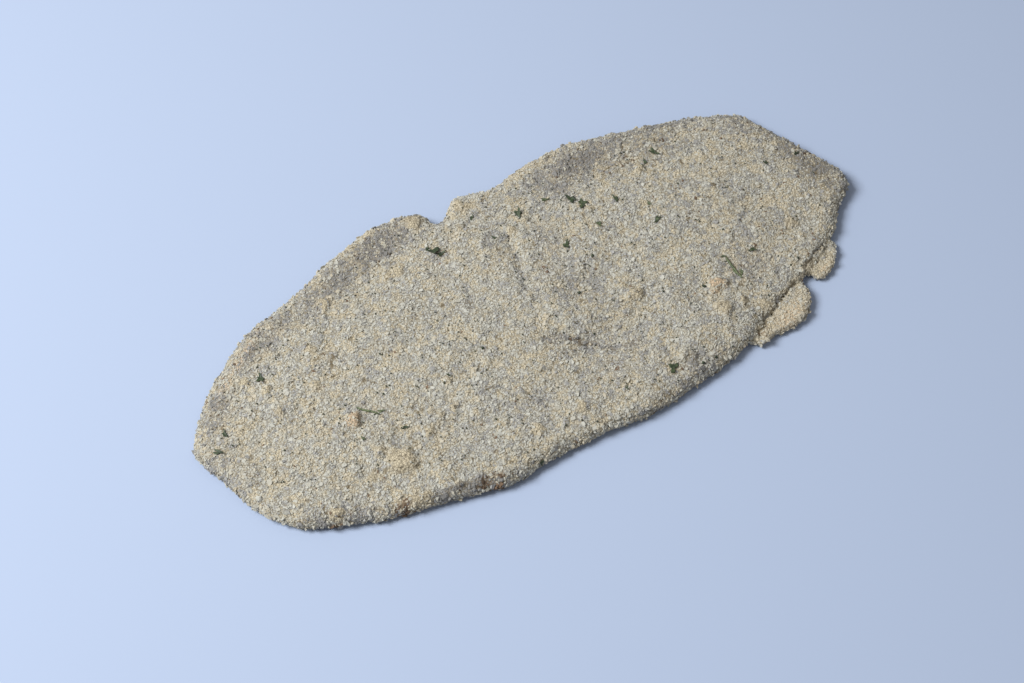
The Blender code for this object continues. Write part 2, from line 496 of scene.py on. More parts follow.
PATCHES = {
    # Grey damp crumbs, and painted shade where these bands lie in hollows and on slopes that face
    # away from the lamp.
    Mood.DAMP_AND_SHADE: (
        (-0.28, 0.84, 21.0, 7.5, 14.0, 1.1), (-0.46, 0.71, 25.0, 6.5, 20.0, 0.75),
        (-0.72, 0.52, 22.0, 6.0, 28.0, 0.85), (-0.88, 0.24, 13.0, 6.0, 52.0, 0.8),
        (-0.96, -0.16, 4.5, 24.0, 8.0, 0.5), (0.33, 0.83, 25.0, 6.5, 2.0, 1.15),
        (0.24, 0.70, 9.0, 5.0, 0.0, 0.9), (0.60, 0.85, 27.0, 5.0, -9.0, 0.9),
        (0.84, 0.58, 12.0, 8.0, -40.0, 0.7), (0.93, 0.12, 6.5, 20.0, 10.0, 0.7),
        (0.14, 0.38, 7.0, 16.0, 0.0, 0.5), (0.00, 0.55, 6.0, 12.0, 0.0, 0.5),
        (0.00, 0.76, 14.0, 6.0, 0.0, 0.5), (0.14, -0.02, 12.0, 9.0, 0.0, 0.6),
        (0.06, -0.42, 14.0, 6.0, -16.0, 0.35), (0.08, -0.60, 22.0, 8.0, 0.0, 0.4),
        (-0.15, -0.62, 13.0, 12.0, 0.0, 0.4), (0.58, -0.40, 12.0, 10.0, 0.0, 0.7),
        (0.66, 0.00, 6.0, 5.0, 0.0, 0.5), (-0.75, -0.73, 17.0, 3.5, -17.0, 0.8),
        (0.30, -0.85, 13.0, 4.5, 6.0, 0.8), (-0.42, -0.91, 20.0, 2.5, -6.0, 0.9),
        (0.46, 0.74, 30.0, 8.0, -4.0, 0.5),
    ),
    # Painted shade: darker patches on the far band, the ends, the rims and a few hollows.
    Mood.SHADED: (
        (0.50, 0.70, 42.0, 12.0, -6.0, 0.32), (0.92, 0.15, 10.0, 30.0, 8.0, 0.48),
        (-0.45, 0.70, 40.0, 9.0, 20.0, 0.30), (0.14, -0.25, 10.0, 16.0, 10.0, 0.30),
        (0.62, 0.05, 22.0, 26.0, 0.0, 0.22), (-0.94, 0.00, 9.0, 26.0, 0.0, 0.26),
        (-0.87, 0.42, 30.0, 4.0, 39.0, 0.14), (-0.44, 0.90, 38.0, 2.8, 17.0, 0.10),
        (-0.45, -0.90, 18.0, 2.0, -9.0, 0.4), (-0.38, -0.93, 34.0, 3.0, -3.0, 0.2),
        (0.20, -0.93, 16.0, 2.5, 5.0, 0.34),
    ),
    # Golden crumbs; the narrow patches along the far rim also paint the lip's crest lighter, which
    # is painted light.
    Mood.GOLDEN: (
        (-0.42, 0.92, 26.0, 2.5, 16.0, 1.1), (0.20, 0.93, 14.0, 3.0, 6.0, 1.2),
        (-0.34, 0.94, 12.0, 2.8, 18.0, 1.6), (-0.50, 0.83, 12.0, 2.2, 24.0, 1.0),
        (-0.05, 0.87, 6.0, 5.0, 0.0, 1.0), (-0.55, -0.15, 50.0, 26.0, 0.0, 0.22),
        (-0.45, -0.50, 24.0, 12.0, 10.0, 0.25), (0.71, -0.53, 6.0, 4.0, 20.0, 0.8),
        (0.78, -0.60, 11.0, 5.5, 25.0, 1.5), (0.58, -0.82, 15.0, 6.0, 22.0, 1.9),
        (0.45, -0.52, 7.0, 11.0, 0.0, 0.5), (0.05, 0.02, 8.0, 18.0, 0.0, 0.4),
        (0.68, 0.36, 9.0, 8.0, 0.0, 0.4), (0.45, 0.68, 16.0, 5.0, 0.0, 0.4),
        (-0.02, -0.97, 34.0, 3.0, 0.0, 0.5), (0.40, -0.88, 12.0, 3.0, 14.0, 0.7),
    ),
    # Peach crumbs; the first, along the far-left edge, is also painted light on the rim.
    Mood.PEACH: (
        (-0.80, 0.45, 22.0, 1.9, 38.0, 0.6), (-0.53, -0.61, 4.5, 3.0, -60.0, 0.25),
        (0.77, -0.64, 6.0, 3.5, 50.0, 0.55), (0.60, -0.80, 10.0, 4.5, 25.0, 0.6),
    ),
    Mood.CHALKY_AND_PAINTED_LIGHT: (
        (0.81, -0.55, 4.0, 3.0, 50.0, 0.7), (-0.30, 0.30, 16.0, 8.0, 0.0, 0.8),
        (-0.38, -0.80, 24.0, 5.0, -3.0, 0.8), (0.62, -0.76, 6.0, 2.5, 26.0, 0.35),
    ),
    Mood.TOASTED: (
        (-0.77, -0.77, 5.0, 2.5, -17.0, 0.7), (-0.60, -0.85, 5.0, 3.0, 10.0, 1.0),
        (-0.38, -0.94, 9.0, 2.5, 0.0, 0.9), (0.15, -0.96, 12.0, 2.5, 8.0, 0.5),
        (-0.59, -0.87, 3.0, 1.4, 0.0, 1.2), (-0.33, -0.93, 2.2, 1.4, 0.0, 1.2),
        (-0.35, -0.985, 4.0, 1.4, 0.0, 1.2), (-0.11, -0.965, 3.4, 1.5, 0.0, 0.9),
        (0.40, 0.68, 4.0, 1.8, 20.0, 0.6), (0.05, -0.38, 3.5, 1.5, -50.0, 0.7),
        (0.51, -0.84, 3.0, 1.4, 35.0, 0.9),
    ),
}
CLUMPS = (
    (-0.54, -0.60, 4.6, 2.4, Mood.GOLDEN, 1.15, -60.0), (-0.57, -0.49, 2.2, 1.6),
    (-0.60, -0.235, 2.5, 2.2, Mood.PEACH, 1.3, 60.0), (0.25, -0.25, 2.8, 1.7),
    (0.464, -0.428, 2.7, 2.4, Mood.PEACH, 1.15, 80.0), (0.44, -0.59, 2.7, 1.8, Mood.GOLDEN, 1.3),
    (0.505, -0.60, 1.8, 1.3), (0.56, -0.69, 1.9, 1.2), (0.275, -0.79, 3.3, 2.1, Mood.CHALKY_AND_PAINTED_LIGHT, 1.0),
    (0.48, 0.57, 2.2, 1.3), (0.06, 0.53, 2.2, 1.2), (-0.51, 0.60, 2.2, 1.2, Mood.GOLDEN, 1.8, 40.0),
    (-0.80, 0.33, 2.0, 1.1), (-0.76, 0.02, 1.8, 0.8), (-0.76, 0.20, 2.0, 1.1),
    (-0.64, 0.10, 2.0, 0.8), (-0.61, 0.35, 2.0, 0.8, Mood.GOLDEN, 1.5, 80.0),
    (-0.75, -0.71, 2.4, 1.1), (-0.54, -0.87, 3.0, 1.1, Mood.GOLDEN, 1.5), (-0.19, -0.80, 2.0, 0.8),
    (-0.06, -0.78, 2.0, 0.7), (0.76, -0.25, 2.2, 0.8), (0.78, 0.42, 2.0, 0.8, Mood.GOLDEN, 1.3),
    (-0.395, -0.45, 1.8, 1.3), (-0.355, -0.43, 1.9, 1.5), (-0.44, -0.51, 1.8, 0.8),
    (-0.01, 0.85, 2.0, 0.8), (-0.29, 0.61, 3.2, 0.7, Mood.GOLDEN, 1.3, 30.0),
    (-0.10, 0.22, 1.8, 0.8), (0.66, 0.44, 1.8, 0.7), (0.66, 0.90, 2.0, 1.1),
    (-0.62, -0.62, 1.8, 0.7), (-0.17, 0.90, 3.2, 1.3, Mood.GOLDEN, 1.4, 10.0),
    (-0.04, 0.88, 2.6, 0.9),
)


@dataclass(frozen=True)
class Coating:
    """Where the coating is damp, golden or toasted, where light and shade are painted into it, and
    where it has clumps.
    """

    footprint: Footprint
    patches: tuple[Patch, ...] = tuple(
        Patch(mood, *row) for mood, rows in PATCHES.items() for row in rows
    )
    clumps: tuple[Clump, ...] = tuple(Clump(*row) for row in CLUMPS)
    creases: tuple[Crease, ...] = CREASES
    tints: tuple[Heaps, ...] = (Heaps(2.8 * MM, 0.0), Heaps(1.7 * MM, 0.0), Heaps(6.0 * MM, 0.0))
    tint_gains: tuple[float, ...] = (1.0, 0.7, 0.6)
    tint_share: float = 0.36
    tint_blur: float = 0.1
    clump_flank_shade: float = 0.32
    wander: float = 2.2 * MM
    wander_grain: float = 3.2 * MM
    crack_spacing: float = 5.0 * MM
    crack_width: float = 0.07
    crack_length: float = 3.6 * MM
    crack_share: float = 4.0
    crack_rarity: float = 0.6

    def weights(self, spots: Points) -> dict[Mood, Points]:
        """Read the coating at some spots.

        Args:
            spots: places in metres.

        Returns:
            Each mood's strength at each spot.
        """
        found = {mood: np.zeros(len(spots)) for mood in Mood}
        # The cracks are painted dark: painted shade in them.
        found[Mood.SHADED] = self.cracks(spots)
        spots = self._wandered(spots)
        for patch in (*self.patches, *(clump.patch() for clump in self.clumps)):
            weight = patch.weight(spots, self.footprint)
            np.maximum(found[patch.mood], weight, out=found[patch.mood])
        for crease in self.creases:
            weight = crease.strength * crease.weight(spots, self.footprint)
            np.maximum(found[crease.mood], weight, out=found[crease.mood])
        climb = self._clumped(spots)
        # Painted shade in the gap around each clump: the factor 4 makes it strongest, at its full
        # value, half way up a clump.
        flank = 4.0 * climb * (1.0 - climb) * self.clump_flank_shade
        np.maximum(found[Mood.SHADED], flank, out=found[Mood.SHADED])
        return found

    def warmth(self, spots: Points) -> Points:
        """Read the tints of the heaps.

        Args:
            spots: places in metres.

        Returns:
            One number for each spot, from -1 for a grey one to 1 for a golden one.
        """
        total = np.zeros(len(spots))
        for heap, gain in zip(self.tints, self.tint_gains):
            draws = heap.draws(spots)
            warm = np.clip((draws - 1.0 + self.tint_share) / self.tint_blur, 0.0, 1.0)
            cool = np.clip((self.tint_share - draws) / self.tint_blur, 0.0, 1.0)
            total += gain * (warm - cool)
        return np.clip(total, -1.0, 1.0)

    def cracks(self, spots: Points) -> Points:
        """Read the coating's short fine cracks.

        Args:
            spots: places in metres.

        Returns:
            How deep in a crack each spot lies, from 0 to 1.
        """
        line = 1.0 - np.abs(noise_at(spots, self.crack_spacing, CRACK_FIELD)) / self.crack_width
        broken = noise_at(spots, self.crack_length, BREAK_FIELD) * self.crack_share
        return np.clip(line, 0.0, 1.0) * np.clip(broken - self.crack_rarity, 0.0, 1.0)

    def _wandered(self, spots: Points) -> Points:
        """Return the spots moved sideways a little, so that no patch has an even outline."""
        sway = [noise.noise_vector(Vector(spot) / self.wander_grain) for spot in spots]
        return spots + np.array(sway) * (self.wander, self.wander, 0.0)

    def clumped(self, spots: Points) -> Points:
        """Return how high up a clump each spot lies, from 0 to 1."""
        return self._clumped(self._wandered(spots))

    def _clumped(self, spots: Points) -> Points:
        """Return how high up a clump each spot lies, once the spots are moved sideways."""
        return np.max([clump.swell(spots, self.footprint) for clump in self.clumps], axis=0)

    def mounds(self, spots: Points) -> Points:
        """Read how far the clumps and creases lift the coating.

        Args:
            spots: places in metres.

        Returns:
            Each spot's lift in metres.
        """
        spots = self._wandered(spots)
        lift = np.zeros(len(spots))
        for clump in self.clumps:
            np.maximum(lift, clump.swell(spots, self.footprint) * clump.rise * MM, out=lift)
        for crease in self.creases:
            lift -= crease.weight(spots, self.footprint) * crease.depth * MM
        return lift


# ---- finishes: each turns its colours and grains into one material


GOLD = (0.50, 0.435, 0.305)


@dataclass(frozen=True)
class Stain:
    """A mood's colour on the crust, and the range of strengths over which it sets in."""

    mood: Mood
    colour: Colour
    low: float
    high: float
    mottle: float = 0.0


@dataclass(frozen=True)
class CrustFinish:
    """The crust under the loose grains: packed crumbs with darker gaps and pits between them, which
    are painted shade.
    """

    tones: tuple[Colour, ...] = ((0.345, 0.315, 0.243), (0.39, 0.37, 0.305), (0.444, 0.432, 0.37))
    grey: Colour = (0.34, 0.340, 0.318)
    # Painted shade: the gaps between the packed crumbs and small pits are painted darker.
    gap: Colour = (0.205, 0.17, 0.115)
    pit_shade: Colour = (0.13, 0.105, 0.07)
    stains: tuple[Stain, ...] = (
        # Grey of damp crumbs, and painted shade in grooves and on slopes away from the lamp.
        Stain(Mood.DAMP_AND_SHADE, (0.235, 0.228, 0.222), 0.05, 0.9, 0.75),
        Stain(Mood.GOLDEN, GOLD, 0.05, 0.9, 0.7),
        Stain(Mood.PEACH, (0.60, 0.455, 0.305), 0.1, 0.9),
        Stain(Mood.TOASTED, (0.21, 0.145, 0.09), 0.2, 1.2),
        # Painted shade: the dark brown of creases, cracks, clump flanks and shaded rims.
        Stain(Mood.SHADED, (0.13, 0.10, 0.055), 0.1, 0.8),
    )
    speckle_grain: float = 5.0 * MM
    speckle_base: float = 0.4
    tint_grain: float = 1.2 * MM
    tint_scatter: float = 1.2
    tint_range: tuple[float, float] = (0.1, 1.0)
    gap_shade_width: float = 0.16
    pit_shade_grain: float = 1.3 * MM
    pit_shade_range: tuple[float, float] = (0.62, 0.70)
    grain: float = 0.95 * MM
    fine_grain: float = 0.35 * MM
    relief: float = 0.4 * MM
    relief_strength: float = 0.9
    roughness: float = 0.9
    specular: float = 0.25

    def material(self) -> bpy.types.Material:
        """Build the crust's material.

        Returns:
            The material.
        """
        graph = Graph("packed_crumbs")
        cells = graph.cells(self.grain)
        tone = graph.node("ShaderNodeSeparateColor", {}, {0: cells.outputs["Color"]}).outputs[0]
        stops = tuple(zip((0.0, 0.5, 1.0), self.tones))
        colour = graph.node("ShaderNodeValToRGB", {"stops": stops}, {0: tone}).outputs[0]
        speckle = graph.noise(self.speckle_grain, 3.0)
        scatter = (graph.noise(self.tint_grain, 3.0) - 0.5) * self.tint_scatter
        tint = graph.attribute(WARMTH) + scatter
        colour = graph.blend(tint.between(*self.tint_range), colour, GOLD)
        colour = graph.blend((0.0 - tint).between(*self.tint_range), colour, self.grey)
        for stain in self.stains:
            strength = graph.attribute(stain.mood.value)
            if stain.mottle:
                strength = strength * stain.mottle * (speckle + self.speckle_base)
            colour = graph.blend(strength.between(stain.low, stain.high), colour, stain.colour)
        # Painted shade along the cells' edges and in pits.
        edge = Signal(graph, graph.cells(self.grain, "DISTANCE_TO_EDGE").outputs["Distance"])
        colour = graph.blend(edge.between(0.0, self.gap_shade_width), self.gap, colour)
        pit_shades = graph.noise(self.pit_shade_grain).between(*self.pit_shade_range)
        colour = graph.blend(pit_shades, colour, self.pit_shade)
        swell = 1.0 - Signal(graph, cells.outputs["Distance"])
        swell = swell + graph.noise(self.fine_grain) * 0.5
        normal = graph.bump(self.relief_strength, self.relief, swell)
        return graph.finish(colour, self.roughness, self.specular, normal)


@dataclass(frozen=True)
class GrainFinish:
    """A kind of loose grain, each one a single tone between two colours."""

    name: str
    slot: str
    dark: Colour
    light: Colour
    roughness: float = 0.85
    specular: float = 0.25

    def material(self) -> bpy.types.Material:
        """Build the grains' material.

        Returns:
            The material.
        """
        graph = Graph(self.name)
        colour = graph.blend(graph.attribute(GRAIN_TONE), self.dark, self.light)
        return graph.finish(colour, self.roughness, self.specular)


@dataclass(frozen=True)
class LeafFinish:
    """Dried parsley: dark green with a few paler folds and ribs."""

    name: str
    stops: tuple[tuple[float, Colour], ...] = (
        (0.2, (0.013, 0.020, 0.009)),
        (0.5, (0.042, 0.060, 0.024)),
        (0.85, (0.14, 0.16, 0.075)),
    )
    tone_share: float = 0.5
    tone_drop: float = 0.25
    mottle_share: float = 1.1
    mottle_grain: float = 1.0 * MM
    crinkle_grain: float = 0.5 * MM
    relief: float = 0.15 * MM
    relief_strength: float = 0.5
    roughness: float = 0.6
    specular: float = 0.5

    def material(self) -> bpy.types.Material:
        """Build the parsley's material.

        Returns:
            The material.
        """
        graph = Graph(self.name)
        mottle = graph.noise(self.mottle_grain, 3.0) * self.mottle_share
        tone = graph.attribute(GRAIN_TONE) * self.tone_share + mottle - self.tone_drop
        colour = graph.node("ShaderNodeValToRGB", {"stops": self.stops}, {0: tone}).outputs[0]
        normal = graph.bump(self.relief_strength, self.relief, graph.noise(self.crinkle_grain))
        return graph.finish(colour, self.roughness, self.specular, normal)


@dataclass(frozen=True)
class TableFinish:
    """A plain pale matt surface."""

    colour: Colour = (0.37, 0.435, 0.56)
    roughness: float = 0.9
    specular: float = 0.05

    def material(self) -> bpy.types.Material:
        """Return the table's material."""
        return Graph("pale_table").finish(self.colour, self.roughness, self.specular)


# ---- meshes


@dataclass
class Surface:
    """A triangle mesh held as arrays, from which spots are drawn."""

    corners: Points
    normals: Points
    tries: int = 4

    @classmethod
    def of(cls, mesh: bpy.types.Mesh) -> "Surface":
        """Read a mesh.

        Args:
            mesh: the mesh.

        Returns:
            Its corners and normals, by triangle.
        """
        mesh.calc_loop_triangles()
        count = len(mesh.loop_triangles)
        index = np.empty(count * 3, np.int32)
        mesh.loop_triangles.foreach_get("vertices", index)
        index = index.reshape(-1, 3)
        return cls(read_points(mesh)[index], read_normals(mesh)[index])

    def spots(self, gap: float, chosen: Points, rng: np.random.Generator) -> tuple[Points, Points]:
        """Draw uneven spots about a given distance apart.

        Args:
            gap: the distance in metres.
            chosen: which triangles may be used.
            rng: the source of chance.

        Returns:
            The spots and their normals.
        """
        corners = self.corners[chosen]
        normals = self.normals[chosen]
        sides = np.cross(corners[:, 1] - corners[:, 0], corners[:, 2] - corners[:, 0])
        areas = np.linalg.norm(sides, axis=1) / 2
        count = int(areas.sum() / gap**2 * self.tries)
        picked = rng.choice(len(areas), count, p=areas / areas.sum())
        first, second = rng.random((2, count))
        flip = first + second > 1
        first, second = np.where(flip, 1 - first, first), np.where(flip, 1 - second, second)
        shares = np.stack([1 - first - second, first, second], axis=1)[..., None]
        places = (corners[picked] * shares).sum(axis=1)
        upward = (normals[picked] * shares).sum(axis=1)
        upward /= np.linalg.norm(upward, axis=1, keepdims=True)
        cells = np.floor(places / gap).astype(np.int64)
        _, kept = np.unique(cells, axis=0, return_index=True)
        kept.sort()
        return places[kept], upward[kept]


def read_points(mesh: bpy.types.Mesh) -> Points:
    """Read a mesh's vertices.

    Args:
        mesh: the mesh.

    Returns:
        One row for each vertex.
    """
    places = np.empty(len(mesh.vertices) * 3, np.float32)
    mesh.vertices.foreach_get("co", places)
    return places.reshape(-1, 3).astype(float)


def read_normals(mesh: bpy.types.Mesh) -> Points:
    """Read the normals of a mesh's vertices.

    Args:
        mesh: the mesh.

    Returns:
        One row for each vertex.
    """
    normals = np.empty(len(mesh.vertices) * 3, np.float32)
    mesh.vertices.foreach_get("normal", normals)
    return normals.reshape(-1, 3)


def mesh_of(name: str, places: Points, faces: Points) -> bpy.types.Mesh:
    """Make a mesh of triangles.

    Args:
        name: the mesh's name.
        places: its vertices.
        faces: three vertex numbers for each triangle.

    Returns:
        The mesh.
    """
    mesh = bpy.data.meshes.new(name)
    mesh.vertices.add(len(places))
    mesh.vertices.foreach_set("co", places.astype(np.float32).ravel())
    mesh.loops.add(len(faces) * 3)
    mesh.loops.foreach_set("vertex_index", faces.astype(np.int32).ravel())
    mesh.polygons.add(len(faces))
    mesh.polygons.foreach_set("loop_start", np.arange(0, len(faces) * 3, 3, dtype=np.int32))
    mesh.update(calc_edges=True)
    mesh.validate()
    return mesh


def show(mesh: bpy.types.Mesh, material: bpy.types.Material) -> bpy.types.Object:
    """Make a piece of the schnitzel from a mesh.

    Args:
        mesh: its shape, in place.
        material: its finish.

    Returns:
        The piece.
    """
    piece = bpy.data.objects.new(mesh.name, mesh)
    bpy.context.scene.collection.objects.link(piece)
    mesh.materials.append(material)
    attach(piece, BODY)
    LOG.info("%s: %d faces", piece.name, len(mesh.polygons))
    return piece


def store(mesh: bpy.types.Mesh, name: str, values: Points) -> None:
    """Store a number for each vertex of a mesh."""
    held = mesh.attributes.new(name, "FLOAT", "POINT")
    held.data.foreach_set("value", values.astype(np.float32))


def give_map(mesh: bpy.types.Mesh, corners: Points) -> None:
    """Give a mesh its bake map, from one place for each face corner."""
    layer = mesh.uv_layers.new(name=BAKE_MAP, do_init=False)
    layer.uv.foreach_set("vector", corners.astype(np.float32).ravel())


# ---- the crust


@dataclass
class Crust:
    """The cutlet's body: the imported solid, remeshed finely, with its lumps and clumps."""

    coating: Coating
    voxel: float = 0.85 * MM
    inset: float = 0.6 * MM
    smoothing: int = 3
    lumps: tuple[tuple[float, float], ...] = ((14.0 * MM, 0.7 * MM), (3.0 * MM, 0.2 * MM))
    heaps: tuple[Heaps, ...] = (Heaps(2.8 * MM, 0.8 * MM, 0.55), Heaps(6.0 * MM, 0.55 * MM))
    flat_base: float = 0.35 * MM
    weld: float = 0.01 * MM
    mound_slope: float = 0.1
    rim_share: float = 0.6
    least_slope: float = 0.3
    map_reach: float = 0.49

    def build(self) -> bpy.types.Object:
        """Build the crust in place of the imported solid.

        Returns:
            The piece.
        """
        mesh = self._remeshed()
        self._lift(mesh)
        places = read_points(mesh)
        for mood, weight in self.coating.weights(places).items():
            store(mesh, mood.value, weight)
        store(mesh, WARMTH, self.coating.warmth(places))
        self._unfold(mesh)
        mesh.shade_smooth()
        piece = show(mesh, CrustFinish().material())
        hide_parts(NODE)
        return piece

    def _remeshed(self) -> bpy.types.Mesh:
        """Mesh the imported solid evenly, without its flat facets.

        Returns:
            The mesh.
        """
        bm = bmesh.new()
        bm.from_mesh(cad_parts[NODE].data)
        bmesh.ops.remove_doubles(bm, verts=bm.verts, dist=self.weld)
        draft = bpy.data.meshes.new("draft")
        bm.to_mesh(draft)
        bm.free()
        holder = bpy.data.objects.new("draft", draft)
        bpy.context.scene.collection.objects.link(holder)
        remesh = holder.modifiers.new("even", "REMESH")
        remesh.mode = "VOXEL"
        remesh.voxel_size = self.voxel
        smooth = holder.modifiers.new("soft", "SMOOTH")
        smooth.iterations = self.smoothing
        graph = bpy.context.evaluated_depsgraph_get()
        mesh = bpy.data.meshes.new_from_object(holder.evaluated_get(graph), depsgraph=graph)
        mesh.name = "breadcrumb_crust"
        mesh.materials.clear()
        bpy.data.objects.remove(holder)
        bpy.data.meshes.remove(draft)
        return mesh

    def _lift(self, mesh: bpy.types.Mesh) -> None:
        """Press the surface in by the grains' depth, and give it lumps and clumps.

        Args:
            mesh: the even mesh, which is changed.
        """
        places = read_points(mesh)
        normals = read_normals(mesh)
        rise = np.full(len(places), -self.inset)
        for seed, (grain, height) in enumerate(self.lumps):
            rise += noise_at(places, grain, LUMP_FIELD + seed) * height
        for heap in self.heaps:
            rise += heap.read(places)[0]
        mounds = self.coating.mounds(places) * (normals[:, 2] > self.mound_slope)
        places += normals * rise[:, None]
        places[:, 2] += mounds
        places[:, 2] = np.maximum(places[:, 2], self.flat_base)
        mesh.vertices.foreach_set("co", places.astype(np.float32).ravel())
        mesh.update()

    def _unfold(self, mesh: bpy.types.Mesh) -> None:
        """Give the crust a bake map: the top in the upper half, the underside in the lower.

        A face that stands steeply is pushed outwards by its depth, so that it keeps a width.

        Args:
            mesh: the crust's mesh, which is given the map.
        """
        places = read_points(mesh)
        count = len(mesh.polygons)
        facing = np.empty(count * 3, np.float32)
        mesh.polygons.foreach_get("normal", facing)
        totals = np.empty(count, np.int32)
        mesh.polygons.foreach_get("loop_total", totals)
        index = np.empty(len(mesh.loops), np.int32)
        mesh.loops.foreach_get("vertex_index", index)
        normals = read_normals(mesh)
        rim = self.coating.footprint.half.z * self.rim_share
        slopes = np.maximum(np.linalg.norm(normals[:, :2], axis=1), self.least_slope)
        outward = normals[:, :2] / slopes[:, None]
        upper = np.repeat(facing.reshape(-1, 3)[:, 2] >= 0.0, totals)
        top = self.coating.footprint.high.z
        depth = np.where(upper, top - places[index, 2], places[index, 2])
        spread = np.clip(depth - rim * upper, 0.0, None)[:, None] * outward[index]
        flat = places[index, :2] + spread
        half = np.array(self.coating.footprint.half[:2]) + 2.0 * rim
        unit = flat / half * self.map_reach
        # Each side of the cutlet gets half the map's height, about its own middle line.
        corners = np.stack([unit[:, 0] + 0.5, unit[:, 1] * 0.5 + np.where(upper, 0.75, 0.25)], 1)
        give_map(mesh, corners)


# ---- the grains


class Grain(Enum):
    """The kinds of loose grain, each with its finish."""

    PALE = GrainFinish("pale_crumbs", PLAIN, (0.405, 0.390, 0.330), (0.47, 0.461, 0.403))
    CREAM = GrainFinish("ivory_crumbs", PLAIN, (0.383, 0.359, 0.289), (0.45, 0.43, 0.36))
    GOLDEN = GrainFinish("golden_crumbs", BROWNED, (0.42, 0.370, 0.272), (0.485, 0.446, 0.355))
    GREY = GrainFinish("damp_crumbs", PLAIN, (0.20, 0.192, 0.176), (0.38, 0.371, 0.347), 0.6)
    TOASTED = GrainFinish("toasted_crumbs", BROWNED, (0.08, 0.055, 0.036), (0.27, 0.18, 0.115))


def prism_faces(sides: int) -> tuple[tuple[int, int, int], ...]:
    """Return the triangles of a prism: its base, its top, then its walls.

    Args:
        sides: how many sides it has.

    Returns:
        Vertex numbers, with the base's first and the top's after them.
    """
    base = [(0, side + 1, side) for side in range(1, sides - 1)]
    top = [(sides, sides + side, sides + side + 1) for side in range(1, sides - 1)]
    walls = []
    for side in range(sides):
        after = (side + 1) % sides
        walls += [(side, after, after + sides), (side, after + sides, side + sides)]
    return tuple(base + top + walls)


CHIP = (
    (
        (0.75, 0.0, 0.6), (-0.38, 0.66, 0.6), (-0.38, -0.66, 0.6),
        (0.5, 0.87, -0.6), (-1.0, 0.0, -0.6), (0.5, -0.87, -0.6),
    ),
    ((0, 1, 2), (0, 3, 1), (1, 4, 2), (2, 5, 0), (3, 4, 1), (4, 5, 2), (5, 3, 0), (3, 5, 4)),
)
SLAB = (
    (
        (1.0, 0.0, -0.5), (0.5, 0.87, -0.5), (-0.5, 0.87, -0.5),
        (-1.0, 0.0, -0.5), (-0.5, -0.87, -0.5), (0.5, -0.87, -0.5),
        (0.9, 0.2, 0.5), (0.3, 0.8, 0.5), (-0.6, 0.7, 0.5),
        (-0.8, -0.1, 0.5), (-0.3, -0.8, 0.5), (0.5, -0.6, 0.5),
    ),
    prism_faces(6),
)


class Zone(Enum):
    """A part of the crust, by the range of its normals' upward share."""

    TOP = (-0.55, 1.01)
    RIM = (-0.65, 0.60)
    UNDERSIDE = (-1.01, -0.55)


@dataclass(frozen=True)
class Sowing:
    """One pass of grains over a zone of the crust. Lengths are in metres."""

    zone: Zone
    gap: float
    size: float
    spread: float
    shape: tuple
    lift: float
    flatness: float = 0.75
    tilt: float = 0.5


@dataclass(frozen=True)
class Flake:
    """One flake of dried parsley: its place as shares of the half box, its length in mm."""

    x: float
    y: float
    length: float
    turn: float
    slimness: float = 0.7
    curl: float = 0.35
    tone: float = 0.3
    cover: float = 0.36
    threshold: float = 0.37

    def covers(self, spots: Points, footprint: Footprint) -> Points:
        """Find which spots of the top lie under the flake.

        Args:
            spots: places in metres.
            footprint: the cutlet's box.

        Returns:
            True or False for each spot.
        """
        reach = self.length * self.cover
        shape = Patch(Mood.DAMP_AND_SHADE, self.x, self.y, reach, reach * self.slimness, self.turn)
        above = spots[:, 2] > footprint.half.z / 2
        return (shape.weight(spots, footprint) > self.threshold) & above


